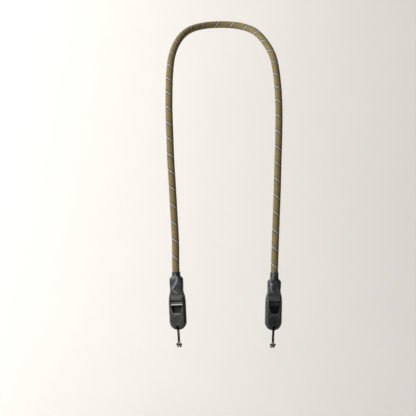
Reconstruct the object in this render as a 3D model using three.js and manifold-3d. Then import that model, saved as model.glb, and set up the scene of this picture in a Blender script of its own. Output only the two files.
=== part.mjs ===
// A round-rope neck strap with a quick-release connector at each end.
// Millimetres, +Z up, front towards -Y.
// The origin is on the rope's inner face at the nape, where the strap rests.
import * as THREE from "three";
import { mergeVertices } from "three/addons/utils/BufferGeometryUtils.js";
import Module from "manifold-3d";

const wasm = await Module();
wasm.setup();

// Clearance left between pieces
const GAP = 0.3;

// Rope
const ROPE_DIAMETER = 10;
const ROPE_SIDES = 12;
const ROPE_STEPS = 76;
const ROPE_STRAIGHT = 8;
const ROPE_IN_SLEEVE = 21;

// Rope centre from the left chest, up over the shoulder, round the nape and down the right chest
const ROPE_ROUTE = [
  { right: -65.7, back: -157.5, up: -324 },
  { right: -67.9, back: -153, up: -285 },
  { right: -70.4, back: -146, up: -244 },
  { right: -72.9, back: -137.5, up: -206 },
  { right: -74, back: -130, up: -180 },
  { right: -75, back: -122.5, up: -158 },
  { right: -75.8, back: -114.5, up: -135.5 },
  { right: -76.1, back: -105, up: -113.5 },
  { right: -76, back: -96.5, up: -97 },
  { right: -75.5, back: -86, up: -79 },
  { right: -74.2, back: -75, up: -62.5 },
  { right: -71.3, back: -64, up: -48 },
  { right: -65.7, back: -50, up: -33 },
  { right: -56.5, back: -31, up: -18.5 },
  { right: -44, back: -13.5, up: -8.5 },
  { right: -24, back: 0, up: -2 },
  { right: 0, back: 5, up: 0 },
  { right: 24, back: 0, up: -2.2 },
  { right: 44, back: -13.5, up: -9.8 },
  { right: 56.5, back: -31, up: -21.5 },
  { right: 68.4, back: -53, up: -41 },
  { right: 74.4, back: -67.5, up: -57 },
  { right: 77.5, back: -81.5, up: -76 },
  { right: 79.3, back: -94, up: -96 },
  { right: 80.3, back: -107, up: -121.5 },
  { right: 80.2, back: -118, up: -147.5 },
  { right: 79.2, back: -129, up: -179 },
  { right: 77.7, back: -138.5, up: -214.5 },
  { right: 76.4, back: -146, up: -250 },
  { right: 74.8, back: -152.5, up: -285 },
  { right: 73.1, back: -157.5, up: -326.5 },
];

// Where each rope end enters its sleeve, the way the end hangs from there, its turn outwards
// and how far down its sleeve stays tight on the rope
const ENDS = [
  { side: "left", right: -65, back: -160.5, up: -364.2, leanRight: 0.046, leanBack: -0.056, turn: -13, tight: 4.6 },
  { side: "right", right: 71.8, back: -160.5, up: -364.9, leanRight: -0.026, leanBack: -0.056, turn: 18, tight: 7.8 },
];

// Sleeve: a shrunk wall, round on the rope and squared off on the webbing
const SLEEVE_WALL = 0.75;
const SLEEVE_SIDES = 32;
const SLEEVE_COLLAR = 6;
// Below the tight stretch
const SLEEVE_SHOULDER = [
  { down: 1.6, halfWidth: 7.1, halfDepth: 6.3, square: 2.1 },
  { down: 3.6, halfWidth: 9.1, halfDepth: 6.7, square: 2.4 },
  { down: 6.4, halfWidth: 9.5, halfDepth: 6.9, square: 2.7 },
];
// Below the mouth
const SLEEVE_SKIRT = [
  { down: 17.5, halfWidth: 9.4, halfDepth: 6.8, square: 3 },
  { down: 24, halfWidth: 8.95, halfDepth: 6.1, square: 3.6 },
  { down: 27, halfWidth: 9.15, halfDepth: 5.3, square: 4.4 },
  { down: 30.2, halfWidth: 10.1, halfDepth: 4.6, square: 5.5 },
];

// Webbing loop round the connector's bar, its tail inside the sleeve
const WEB_WIDTH = 15.9;
const WEB_THICK = 1.5;
const WEB_TOP = 23;
const WEB_SEWN_TO = 25;
const WEB_SEWN_GAP = 0.4;

// Connector housing
const HOUSING_WIDTH = 23.5;
const HOUSING_THICK = 10;
const HOUSING_TOP = 30.6;
const HOUSING_BOTTOM = 80;
const HOUSING_TOP_WIDTH = 20.8;
const HOUSING_SHOULDER = 38.5;
const HOUSING_EDGE = 2.4;
const HOUSING_EDGE_DEPTH = 1.4;
const BAR_DIAMETER = 4.2;
const BAR_DOWN = 36.4;
const BAR_BACK = -0.6;
const WINDOW_WIDTH = 17;
const WINDOW_BACK = 3.6;
const WINDOW_BOTTOM = 43.6;
const BRIDGE_RECESS = 0.7;
const FRONT_WALL = 1.6;
const CAVITY_DEPTH = 3.9;

// Mouth where the anchor disc goes in
const MOUTH_TOP = 46;
const MOUTH_BOTTOM = 56.6;
const MOUTH_TOP_WIDTH = 17.3;
const MOUTH_BOTTOM_WIDTH = 10.4;
// The slope that leads out of the mouth towards the disc
const LIP_DEPTH = 0.7;
const LIP_DOWN = 2.2;

// Anchor disc and its pocket
const DISC_DIAMETER = 15;
const DISC_FACE_DIAMETER = 12.8;
const DISC_DOWN = 67.6;
const DISC_ROUND = 0.4;
const DISC_SLOT_TOP = 69;
const DISC_SLOT_WIDTH = 4.2;
const DISC_SLOT_DEPTH = 2.2;
const GROOVE_WIDTH = 4.6;

// Anchor cord: two strands side by side that end in a girth hitch
const CORD_DIAMETER = 1.6;
const CORD_SIDES = 8;
const CORD_STEPS = 80;
const CORD_IN_DISC = -1.6;
// Half of the cord from the disc to the bight; apart is each strand's distance from the middle
const CORD_ROUTE = [
  { apart: 0.95, back: CORD_IN_DISC, down: 69.6 },
  { apart: 0.95, back: CORD_IN_DISC, down: 75 },
  { apart: 0.95, back: -1.5, down: 80.5 },
  { apart: 0.95, back: -1.1, down: 84 },
  { apart: 0.95, back: -0.8, down: 87.5 },
  { apart: 0.95, back: -0.6, down: 91 },
  { apart: 0.95, back: -0.6, down: 94.5 },
  { apart: 1.15, back: -1, down: 97.5 },
  { apart: 1.3, back: -2, down: 100 },
  { apart: 1.35, back: -2.15, down: 101.4 },
  { apart: 1.5, back: -1.5, down: 102.95 },
  { apart: 1.7, back: 0, down: 103.55 },
  { apart: 2, back: 1.5, down: 102.95 },
  { apart: 2.35, back: 2.15, down: 101.4 },
  { apart: 2.7, back: 1.5, down: 99.9 },
  { apart: 2.95, back: 0.1, down: 99.3 },
  { apart: 3, back: -1.8, down: 99.4 },
  { apart: 2.4, back: -3.4, down: 100 },
];
const CORD_BIGHT = { back: -4, down: 100.3 };

// Finishes
const OLIVE_ROPE = new THREE.MeshStandardMaterial({ name: "olive_rope", color: 0x8f8158, roughness: 0.9 });
const BLACK_SLEEVE = new THREE.MeshStandardMaterial({ name: "black_sleeve", color: 0x17171a, roughness: 0.45 });
const BLACK_WEBBING = new THREE.MeshStandardMaterial({ name: "black_webbing", color: 0x232327, roughness: 0.85 });
const BLACK_PLASTIC = new THREE.MeshStandardMaterial({ name: "black_plastic", color: 0x1b1b1e, roughness: 0.55 });
const DISC_PLASTIC = new THREE.MeshStandardMaterial({ name: "disc_plastic", color: 0x2a2a2d, roughness: 0.6 });
const DARK_CORD = new THREE.MeshStandardMaterial({ name: "dark_cord", color: 0x1d1a1a, roughness: 0.8 });

// A geometry as a solid for cutting and joining
function solid(geometry) {
  const bare = geometry.clone();
  bare.deleteAttribute("normal");
  bare.deleteAttribute("uv");
  const merged = mergeVertices(bare, 1e-4);
  const mesh = new wasm.Mesh({
    numProp: 3,
    vertProperties: merged.attributes.position.array,
    triVerts: new Uint32Array(merged.index.array),
  });
  return new wasm.Manifold(mesh);
}

// A solid as a geometry again
function fromSolid(made) {
  const mesh = made.getMesh();
  const geometry = new THREE.BufferGeometry();
  geometry.setAttribute("position", new THREE.BufferAttribute(mesh.vertProperties, 3));
  geometry.setIndex(new THREE.BufferAttribute(mesh.triVerts, 1));
  geometry.computeVertexNormals();
  return geometry;
}

// A named mesh
function piece(name, geometry, material) {
  const mesh = new THREE.Mesh(geometry, material);
  mesh.name = name;
  return mesh;
}

// A round tube along a smooth curve through points
function tube(points, diameter, sides, steps) {
  const section = new THREE.Shape();
  for (let i = 0; i < sides; i++) {
    const angle = (2 * Math.PI * i) / sides;
    const x = (diameter / 2) * Math.cos(angle);
    const y = (diameter / 2) * Math.sin(angle);
    if (i === 0) section.moveTo(x, y);
    else section.lineTo(x, y);
  }
  section.closePath();
  const curve = new THREE.CatmullRomCurve3(points, false, "centripetal");
  return new THREE.ExtrudeGeometry(section, { steps, extrudePath: curve, bevelEnabled: false });
}

// An outline drawn in the front view, carried from one depth towards the front
function frontPrism(shape, back, length, edge, edgeDepth) {
  const geometry = new THREE.ExtrudeGeometry(shape, {
    depth: length - 2 * edgeDepth,
    curveSegments: 14,
    bevelEnabled: edge > 0,
    bevelThickness: edgeDepth,
    bevelSize: edge,
    bevelOffset: -edge,
    bevelSegments: 3,
  });
  const turn = new THREE.Matrix4().makeBasis(
    new THREE.Vector3(1, 0, 0),
    new THREE.Vector3(0, 0, 1),
    new THREE.Vector3(0, -1, 0),
  );
  geometry.applyMatrix4(turn);
  geometry.translate(0, back - edgeDepth, 0);
  return geometry;
}

// An outline drawn in the side view, carried across an end
function sidePrism(shape, width) {
  const geometry = new THREE.ExtrudeGeometry(shape, { depth: width, bevelEnabled: false, curveSegments: 10 });
  const turn = new THREE.Matrix4().makeBasis(
    new THREE.Vector3(0, 1, 0),
    new THREE.Vector3(0, 0, 1),
    new THREE.Vector3(1, 0, 0),
  );
  geometry.applyMatrix4(turn);
  geometry.translate(-width / 2, 0, 0);
  return geometry;
}

// A box given by its width, its two depths and its two distances down
function box(width, back, front, top, bottom) {
  const geometry = new THREE.BoxGeometry(width, back - front, bottom - top);
  geometry.translate(0, (back + front) / 2, -(top + bottom) / 2);
  return geometry;
}

// A round plug that points to the front
function plug(diameter, back, front, down) {
  const geometry = new THREE.CylinderGeometry(diameter / 2, diameter / 2, back - front, 36);
  geometry.translate(0, (back + front) / 2, -down);
  return geometry;
}

// The way an end hangs, as a unit vector
function hangOf(end) {
  return new THREE.Vector3(end.leanRight, end.leanBack, -1).normalize();
}

// The rope point at a distance below the mouth of a sleeve
function endPoint(end, below) {
  const mouth = new THREE.Vector3(end.right, end.back, end.up);
  return mouth.addScaledVector(hangOf(end), below);
}

function rope() {
  const [left, right] = ENDS;
  const points = [
    endPoint(left, ROPE_IN_SLEEVE),
    endPoint(left, 0),
    endPoint(left, -ROPE_STRAIGHT),
    ...ROPE_ROUTE.map((p) => new THREE.Vector3(p.right, p.back, p.up)),
    endPoint(right, -ROPE_STRAIGHT),
    endPoint(right, 0),
    endPoint(right, ROPE_IN_SLEEVE),
  ];
  return tube(points, ROPE_DIAMETER, ROPE_SIDES, ROPE_STEPS);
}

// The sleeve's wall: a turned profile whose rings are then widened and squared off row by row
function sleeve(tight) {
  const collar = { halfWidth: SLEEVE_COLLAR, halfDepth: SLEEVE_COLLAR, square: 2 };
  const outer = [
    { ...collar, down: 0 },
    { ...collar, down: tight },
    ...SLEEVE_SHOULDER.map((r) => ({ ...r, down: tight + r.down })),
    ...SLEEVE_SKIRT,
  ];
  const inner = outer.map((r) => ({
    ...r,
    halfWidth: r.halfWidth - SLEEVE_WALL,
    halfDepth: r.halfDepth - SLEEVE_WALL,
  }));
  const rows = [...[...outer].reverse(), ...inner];
  rows.push(rows[0]);
  const profile = rows.map((r) => new THREE.Vector2(r.halfWidth, -r.down));
  const geometry = new THREE.LatheGeometry(profile, SLEEVE_SIDES);
  const at = geometry.attributes.position;
  const squared = (value, power) => Math.sign(value) * Math.abs(value) ** (2 / power);
  for (let i = 0; i < at.count; i++) {
    const row = rows[i % rows.length];
    const ring = Math.floor(i / rows.length) % SLEEVE_SIDES;
    const angle = (2 * Math.PI * ring) / SLEEVE_SIDES;
    const x = row.halfWidth * squared(Math.sin(angle), row.square);
    const y = -row.halfDepth * squared(Math.cos(angle), row.square);
    at.setXYZ(i, x, y, -row.down);
  }
  return geometry;
}

function webbingLoop() {
  const inside = BAR_DIAMETER / 2 + GAP;
  const outside = inside + WEB_THICK;
  const band = new THREE.Shape();
  band.moveTo(-WEB_THICK, -WEB_TOP);
  band.lineTo(BAR_BACK - outside, -BAR_DOWN);
  band.absarc(BAR_BACK, -BAR_DOWN, outside, Math.PI, 2 * Math.PI, false);
  band.lineTo(WEB_THICK, -WEB_TOP);
  band.closePath();
  const hole = new THREE.Path();
  hole.moveTo(-WEB_SEWN_GAP, -WEB_SEWN_TO);
  hole.lineTo(BAR_BACK - inside, -BAR_DOWN);
  hole.absarc(BAR_BACK, -BAR_DOWN, inside, Math.PI, 2 * Math.PI, false);
  hole.lineTo(WEB_SEWN_GAP, -WEB_SEWN_TO);
  hole.closePath();
  band.holes.push(hole);
  return sidePrism(band, WEB_WIDTH);
}

function housing() {
  const half = HOUSING_WIDTH / 2;
  const outline = new THREE.Shape();
  outline.moveTo(-HOUSING_TOP_WIDTH / 2, -HOUSING_TOP);
  outline.lineTo(-half, -HOUSING_SHOULDER);
  outline.lineTo(-half, -(HOUSING_BOTTOM - half));
  outline.absarc(0, -(HOUSING_BOTTOM - half), half, Math.PI, 2 * Math.PI, false);
  outline.lineTo(half, -HOUSING_SHOULDER);
  outline.lineTo(HOUSING_TOP_WIDTH / 2, -HOUSING_TOP);
  outline.closePath();

  const back = HOUSING_THICK / 2;
  const front = -HOUSING_THICK / 2;
  const roof = front + FRONT_WALL;
  const floor = roof + CAVITY_DEPTH;
  const past = 2;

  const mouth = new THREE.Shape();
  mouth.moveTo(-MOUTH_TOP_WIDTH / 2, -MOUTH_TOP);
  mouth.lineTo(-MOUTH_BOTTOM_WIDTH / 2, -MOUTH_BOTTOM);
  mouth.lineTo(MOUTH_BOTTOM_WIDTH / 2, -MOUTH_BOTTOM);
  mouth.lineTo(MOUTH_TOP_WIDTH / 2, -MOUTH_TOP);
  mouth.closePath();

  const lip = new THREE.Shape();
  lip.moveTo(front - past, -MOUTH_BOTTOM + past);
  lip.lineTo(front - past, -MOUTH_BOTTOM - LIP_DOWN);
  lip.lineTo(front, -MOUTH_BOTTOM - LIP_DOWN);
  lip.lineTo(front + LIP_DEPTH, -MOUTH_BOTTOM);
  lip.lineTo(front + LIP_DEPTH, -MOUTH_BOTTOM + past);
  lip.closePath();

  const pocket = DISC_DIAMETER + 2 * GAP;
  const bar = new THREE.CylinderGeometry(BAR_DIAMETER / 2, BAR_DIAMETER / 2, WINDOW_WIDTH + 2, 20);
  bar.rotateZ(Math.PI / 2);
  bar.translate(0, BAR_BACK, -BAR_DOWN);

  return fromSolid(
    solid(frontPrism(outline, back, HOUSING_THICK, HOUSING_EDGE, HOUSING_EDGE_DEPTH))
      .subtract(solid(box(WINDOW_WIDTH, WINDOW_BACK, front - past, HOUSING_TOP - past, WINDOW_BOTTOM)))
      .add(solid(bar))
      .subtract(solid(box(WINDOW_WIDTH, front + BRIDGE_RECESS, front - past, WINDOW_BOTTOM - 1, MOUTH_TOP + 1)))
      .subtract(solid(frontPrism(mouth, floor, floor - front + past, 0, 0)))
      .subtract(solid(sidePrism(lip, MOUTH_BOTTOM_WIDTH)))
      .subtract(solid(box(pocket, floor, roof, MOUTH_BOTTOM - 4, DISC_DOWN)))
      .subtract(solid(plug(pocket, floor, roof, DISC_DOWN)))
      .subtract(solid(plug(DISC_FACE_DIAMETER + 2 * GAP, floor, front - past, DISC_DOWN)))
      .subtract(solid(box(GROOVE_WIDTH, floor, front - past, DISC_DOWN, HOUSING_BOTTOM + past))),
  );
}

function anchorDisc() {
  const front = -HOUSING_THICK / 2;
  const back = front + FRONT_WALL + CAVITY_DEPTH - GAP;
  const flange = front + FRONT_WALL + GAP;
  const face = front + GAP;
  const wide = DISC_DIAMETER / 2;
  const narrow = DISC_FACE_DIAMETER / 2;
  const profile = [
    [0, face],
    [narrow - DISC_ROUND, face],
    [narrow, face + DISC_ROUND],
    [narrow, flange],
    [wide - DISC_ROUND, flange],
    [wide, flange + DISC_ROUND],
    [wide, back - DISC_ROUND],
    [wide - DISC_ROUND, back],
    [0, back],
  ].map(([radius, depth]) => new THREE.Vector2(radius, depth));
  const turned = new THREE.LatheGeometry(profile, 32);
  turned.translate(0, 0, -DISC_DOWN);
  const slotBack = CORD_IN_DISC + DISC_SLOT_DEPTH / 2;
  const slotFront = CORD_IN_DISC - DISC_SLOT_DEPTH / 2;
  const slot = box(DISC_SLOT_WIDTH, slotBack, slotFront, DISC_SLOT_TOP, DISC_DOWN + DISC_DIAMETER);
  return fromSolid(solid(turned).subtract(solid(slot)));
}

function anchorCord() {
  const strand = (sign) =>
    CORD_ROUTE.map((p) => new THREE.Vector3(sign * p.apart, p.back, -p.down));
  const bight = new THREE.Vector3(0, CORD_BIGHT.back, -CORD_BIGHT.down);
  const points = [...strand(1), bight, ...strand(-1).reverse()];
  return tube(points, CORD_DIAMETER, CORD_SIDES, CORD_STEPS);
}

// One end of the strap, hung from the mouth of its sleeve
function strapEnd(end) {
  const hang = new THREE.Group();
  const up = hangOf(end).negate();
  const right = new THREE.Vector3(1, 0, 0).addScaledVector(up, -up.x).normalize();
  const back = new THREE.Vector3().crossVectors(up, right);
  const basis = new THREE.Matrix4().makeBasis(right, back, up);
  hang.quaternion.setFromRotationMatrix(basis);
  hang.position.set(end.right, end.back, end.up);

  const turned = new THREE.Group();
  turned.rotation.z = THREE.MathUtils.degToRad(end.turn);
  turned.add(
    piece(`sleeve_${end.side}`, sleeve(end.tight), BLACK_SLEEVE),
    piece(`webbing_loop_${end.side}`, webbingLoop(), BLACK_WEBBING),
    piece(`housing_${end.side}`, housing(), BLACK_PLASTIC),
    piece(`anchor_disc_${end.side}`, anchorDisc(), DISC_PLASTIC),
    piece(`anchor_cord_${end.side}`, anchorCord(), DARK_CORD),
  );
  hang.add(turned);
  return hang;
}

const strap = new THREE.Group();
strap.name = "camera_neck_strap";
strap.add(piece("rope", rope(), OLIVE_ROPE));
for (const end of ENDS) strap.add(strapEnd(end));

export default strap;
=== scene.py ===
import math
from bisect import bisect_right

import bmesh
import bpy
from bpy.props import (
    FloatProperty,
    FloatVectorProperty,
    IntProperty,
    PointerProperty,
)
from bpy.types import Operator, Panel, PropertyGroup
from mathutils import Matrix, Vector
from mathutils.geometry import intersect_point_line


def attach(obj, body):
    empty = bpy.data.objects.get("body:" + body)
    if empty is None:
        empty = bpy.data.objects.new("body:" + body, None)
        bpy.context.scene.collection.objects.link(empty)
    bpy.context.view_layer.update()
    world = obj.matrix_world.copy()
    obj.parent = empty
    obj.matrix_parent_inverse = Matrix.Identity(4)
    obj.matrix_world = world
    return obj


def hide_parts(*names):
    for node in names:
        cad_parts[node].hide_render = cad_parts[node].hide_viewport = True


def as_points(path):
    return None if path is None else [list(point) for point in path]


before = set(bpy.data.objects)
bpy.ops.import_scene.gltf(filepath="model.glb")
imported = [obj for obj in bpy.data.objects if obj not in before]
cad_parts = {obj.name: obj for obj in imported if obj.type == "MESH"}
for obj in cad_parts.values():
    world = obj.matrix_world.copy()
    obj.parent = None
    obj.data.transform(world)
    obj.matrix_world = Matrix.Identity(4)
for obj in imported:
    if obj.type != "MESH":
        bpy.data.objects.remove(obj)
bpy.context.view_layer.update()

bl_info = {
    "name": "Braided Rope Neck Strap",
    "version": (1, 0, 0),
    "blender": (4, 5, 0),
    "location": "View3D > Sidebar > Neck Strap",
    "description": "Builds a round braided neck strap with quick-release ends",
    "category": "Object",
}

MM = 0.001
BODY = "root"
CREASE = 34.0  # edges of moulded pieces that turn more than this stay sharp, in degrees

# The rope's route over the nape, from the left end to the right: right, back,
# up, in metres.
ROPE_ROUTE = (
    (-0.0657, -0.1575, -0.3240), (-0.0679, -0.1530, -0.2850),
    (-0.0704, -0.1460, -0.2440), (-0.0729, -0.1375, -0.2060),
    (-0.0740, -0.1300, -0.1800), (-0.0750, -0.1225, -0.1580),
    (-0.0758, -0.1145, -0.1355), (-0.0761, -0.1050, -0.1135),
    (-0.0760, -0.0965, -0.0970), (-0.0755, -0.0860, -0.0790),
    (-0.0742, -0.0750, -0.0625), (-0.0713, -0.0640, -0.0480),
    (-0.0657, -0.0500, -0.0330), (-0.0565, -0.0310, -0.0185),
    (-0.0440, -0.0135, -0.0085), (-0.0240, 0.0000, -0.0020),
    (0.0000, 0.0050, 0.0000), (0.0240, 0.0000, -0.0022),
    (0.0440, -0.0135, -0.0098), (0.0565, -0.0310, -0.0215),
    (0.0684, -0.0530, -0.0410), (0.0744, -0.0675, -0.0570),
    (0.0775, -0.0815, -0.0760), (0.0793, -0.0940, -0.0960),
    (0.0803, -0.1070, -0.1215), (0.0802, -0.1180, -0.1475),
    (0.0792, -0.1290, -0.1790), (0.0777, -0.1385, -0.2145),
    (0.0764, -0.1460, -0.2500), (0.0748, -0.1525, -0.2850),
    (0.0731, -0.1575, -0.3265),
)
ROPE_STRAIGHT = 0.008  # straight stretch above a sleeve's mouth
ROPE_IN_SLEEVE = 0.021  # rope end inside a sleeve

# How the rope lies twisted, along its length in metres and in degrees.
ROPE_TWIST = (
    (0.000, -12), (0.090, -10), (0.130, 11), (0.185, 8), (0.260, -4),
    (0.335, -20), (0.374, -12), (0.470, 40), (0.596, 95), (0.642, 64),
    (0.690, 14), (0.740, 15), (0.805, -15), (0.850, -20), (0.890, 0),
    (0.955, 14),
)
STRIPE_ANGLE = 4.510  # where the stripe starts round the rope, in radians
STRIPE_YARN = 7.5  # middle of the stripe, counted in yarns
MEAN_HEIGHT = 0.6  # mean height of a braid, as a share of its relief
YARN_CROWN = 0.62  # how far a yarn falls away towards its edges

# Where each sleeve's mouth is, the way the end hangs, how far it is turned and the
# length of the sleeve's tight collar.
ENDS = {
    "left": ((-0.0650, -0.1605, -0.3642), (0.046, -0.056, -1.0), -13.0, 4.6),
    "right": ((0.0718, -0.1605, -0.3649), (-0.026, -0.056, -1.0), 18.0, 7.8),
}

# A sleeve's outside: down, half width, half depth, squareness. The shoulder's rows
# count from the foot of the collar, the skirt's from the sleeve's mouth.
SLEEVE_COLLAR = (0.0, 5.85, 5.85, 2.0)
SLEEVE_SHOULDER = (
    (-1.6, 5.85, 5.85, 2.0), (0.0, 5.95, 5.95, 2.0), (1.6, 7.15, 6.35, 2.1),
    (3.6, 9.1, 6.75, 2.4), (6.4, 9.5, 6.95, 2.7),
)
SLEEVE_SKIRT = (
    (17.5, 9.4, 6.8, 3.0), (24.0, 8.95, 6.1, 3.6), (27.0, 9.15, 5.2, 4.4),
    (30.2, 10.1, 4.4, 5.5),
)
# Creases drawn into the shrunk sleeve: a line of (right, down) points on the
# front or the back, its height and its half width, all in millimetres.
SLEEVE_CREASES = {
    "left": (
        (-1, ((0.9, 3.8), (2.0, 6.6)), 0.9, 1.2),
        (-1, ((3.4, 9.0), (3.2, 12.0), (2.2, 15.0), (-0.6, 18.0), (-2.4, 20.4)), 1.3, 1.9),
        (-1, ((-3.8, 22.0), (-2.6, 24.7), (-0.2, 27.5), (0.8, 29.4)), 1.1, 1.7),
        (-1, ((6.4, 12.0), (7.2, 18.0)), 0.4, 1.2),
        (1, ((-3.4, 9.0), (1.4, 16.5), (3.8, 27.0)), 0.6, 1.2),
        (1, ((5.4, 10.4), (4.0, 15.6)), 0.4, 1.1),
    ),
    "right": (
        (-1, ((-2.4, 0.8), (-2.4, 5.0)), 0.5, 0.9),
        (-1, ((-5.4, 16.4), (-6.4, 20.2), (-5.6, 23.6), (-3.6, 27.0)), 1.3, 1.6),
        (-1, ((-2.4, 15.0), (0.4, 13.2), (2.4, 13.4)), 0.3, 1.1),
        (-1, ((3.8, 20.0), (5.8, 25.6)), 0.4, 1.2),
        (1, ((4.0, 11.8), (-0.6, 16.0), (-3.4, 26.4)), 0.6, 1.2),
        (1, ((-5.6, 13.0), (-4.6, 17.4)), 0.4, 1.1),
    ),
}

# Half of the anchor cord from the disc down to the hitch: each strand's distance
# from the middle, back and down, in millimetres.
CORD_IN_DISC = -1.6
CORD_ROUTE = (
    (0.88, -1.6, 69.6), (0.88, -1.6, 75.0), (0.88, -1.5, 80.5),
    (0.88, -1.1, 84.0), (0.88, -0.8, 87.5), (0.88, -0.6, 91.0),
    (0.88, -0.6, 94.5), (1.15, -1.0, 97.5), (1.3, -2.0, 100.0),
    (1.35, -2.15, 101.4), (1.5, -1.5, 102.95), (1.7, 0.0, 103.55),
    (2.0, 1.5, 102.95), (2.35, 2.15, 101.4), (2.7, 1.5, 99.9),
    (2.95, 0.1, 99.3), (3.0, -1.8, 99.4), (2.4, -3.4, 100.0),
)
CORD_BIGHT = (0.0, -4.0, 100.3)

# The webbing loop, the housing and the disc, in millimetres. Distances down count
# from the sleeve's mouth.
GAP = 0.3  # clearance between pieces
WEB_TOP, WEB_SEWN_TO, WEB_SEWN_GAP = 23.0, 25.0, 0.4
BAR_BACK, BAR_DOWN, BAR_DIAMETER = -0.6, 36.4, 4.2
HOUSING_TOP, HOUSING_SHOULDER, HOUSING_BOTTOM = 30.6, 38.5, 80.0
HOUSING_TOP_WIDTH = 20.8
WINDOW_WIDTH, WINDOW_BACK, WINDOW_BOTTOM = 17.0, 3.6, 41.6
TOP_SLOPE_DEPTH, TOP_SLOPE_TO = 2.4, 37.4
FRONT_WALL, CAVITY_DEPTH = 1.6, 3.9
MOUTH_TOP, MOUTH_BOTTOM = 46.0, 56.6
MOUTH_TOP_WIDTH, MOUTH_BOTTOM_WIDTH = 17.3, 10.4
LIP_DEPTH, LIP_DOWN = 0.7, 2.2
GROOVE_WIDTH = 4.6
DISC_DOWN, DISC_FACE, DISC_FRONT, DISC_FLANGE, DISC_BACK = 67.6, 12.8, -4.7, -3.1, 0.2


# Settings


def length_setting(label, text, metres):
    return FloatProperty(
        name=label, description=text, default=metres, min=0.0,
        unit="LENGTH", subtype="DISTANCE", precision=4,
    )


def colour_setting(label, text, colour):
    return FloatVectorProperty(
        name=label, description=text, default=colour, size=3,
        subtype="COLOR", min=0.0, max=1.0,
    )


class RopeSettings(PropertyGroup):
    """Sizes and colours of the braided rope."""

    diameter: length_setting("Diameter", "Rope diameter, yarns and grooves evened", 0.0100)
    lead: length_setting("Braid lead", "Length in which one yarn goes once round", 0.02390)
    relief: length_setting("Relief", "Depth of the grooves between yarns", 0.00042)
    yarns: IntProperty(
        name="Yarns each way",
        description="Yarns that wind in each of the two directions",
        default=16, min=4, max=32,
    )
    olive: colour_setting("Olive", "Main yarn colour", (0.250, 0.200, 0.092))
    olive_dark: colour_setting(
        "Dark olive", "Darkest shade of the main yarns", (0.150, 0.114, 0.048)
    )
    stripe_light: colour_setting("Stripe", "Light yarns of the stripe", (0.40, 0.40, 0.39))
    stripe_dark: colour_setting(
        "Stripe edge", "Dark yarns beside the stripe", (0.012, 0.012, 0.013)
    )


class EndSettings(PropertyGroup):
    """Sizes and colours of the two quick-release ends."""

    sleeve_wall: length_setting("Sleeve wall", "Wall of the shrunk sleeve", 0.0006)
    web_width: length_setting("Webbing width", "Width of the webbing", 0.0159)
    web_thickness: length_setting("Webbing", "Thickness of the webbing", 0.0015)
    housing_width: length_setting("Housing width", "Width of the housing", 0.0235)
    housing_thickness: length_setting("Housing thickness", "Front to back of the housing", 0.010)
    housing_edge: length_setting("Housing edge", "Width of the housing's bevelled rim", 0.0026)
    housing_edge_depth: length_setting(
        "Housing edge depth", "How far back the bevelled rim goes", 0.0030
    )
    disc_diameter: length_setting("Disc", "Anchor disc's diameter", 0.015)
    cord_diameter: length_setting("Anchor cord", "Anchor cord's diameter", 0.0016)
    sleeve: colour_setting("Sleeve", "Shrunk sleeve", (0.0210, 0.0230, 0.0275))
    webbing: colour_setting("Webbing", "Woven webbing", (0.0490, 0.0500, 0.0530))
    housing: colour_setting("Housing", "Moulded housing", (0.0110, 0.0115, 0.0130))
    disc: colour_setting("Disc", "Moulded anchor disc", (0.0130, 0.0130, 0.0140))
    cord: colour_setting("Cord", "Anchor cord", (0.010, 0.009, 0.009))


class StageSettings(PropertyGroup):
    """Camera, light and backdrop."""

    lens: FloatProperty(
        name="Lens", description="Focal length on a 36 mm sensor, in millimetres",
        default=131.2, min=20.0, max=400.0,
    )
    backdrop: colour_setting("Backdrop", "Pale floor that sweeps up behind", (0.86, 0.838, 0.81))
    key: FloatProperty(
        name="Key light", description="Power of the large soft light", default=78.0,
        min=0.0, subtype="POWER",
    )
    fill: FloatProperty(
        name="Fill light", description="Power of the weak light opposite",
        default=0.3, min=0.0, subtype="POWER",
    )
    back: FloatProperty(
        name="Backdrop light", description="Power of the light on the backdrop",
        default=72.0, min=0.0, subtype="POWER",
    )
    surround: FloatProperty(
        name="Surround", description="Strength of the even light all round",
        default=0.05, min=0.0,
    )


class StrapSettings(PropertyGroup):
    """All that a user may change on the strap."""

    rope: PointerProperty(type=RopeSettings)
    ends: PointerProperty(type=EndSettings)
    stage: PointerProperty(type=StageSettings)


# Shapes


def smooth_route(points, parts=24):
    """A fine centripetal curve through the points, evenly parted in between."""
    before, after = 2 * points[0] - points[1], 2 * points[-1] - points[-2]
    ends = [before, *points, after]
    fine = []
    for p0, p1, p2, p3 in zip(ends, ends[1:], ends[2:], ends[3:]):
        t0 = 0.0
        t1 = t0 + math.sqrt((p1 - p0).length)
        t2 = t1 + math.sqrt((p2 - p1).length)
        t3 = t2 + math.sqrt((p3 - p2).length)
        for part in range(parts):
            t = t1 + (t2 - t1) * part / parts
            a = p0.lerp(p1, (t - t0) / (t1 - t0))
            b = p1.lerp(p2, (t - t1) / (t2 - t1))
            c = p2.lerp(p3, (t - t2) / (t3 - t2))
            fine.append(
                a.lerp(b, (t - t0) / (t2 - t0)).lerp(
                    b.lerp(c, (t - t1) / (t3 - t1)), (t - t1) / (t2 - t1)
                )
            )
    fine.append(points[-1].copy())
    return fine


def running_lengths(points):
    lengths = [0.0]
    for a, b in zip(points, points[1:]):
        lengths.append(lengths[-1] + (b - a).length)
    return lengths


def spaced(points, count):
    """count + 1 points at equal steps along a line."""
    lengths = running_lengths(points)
    made = []
    for step in range(count + 1):
        at = lengths[-1] * step / count
        k = min(bisect_right(lengths, at), len(points) - 1)
        share = (at - lengths[k - 1]) / (lengths[k] - lengths[k - 1])
        made.append(points[k - 1].lerp(points[k], share))
    return made


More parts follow.
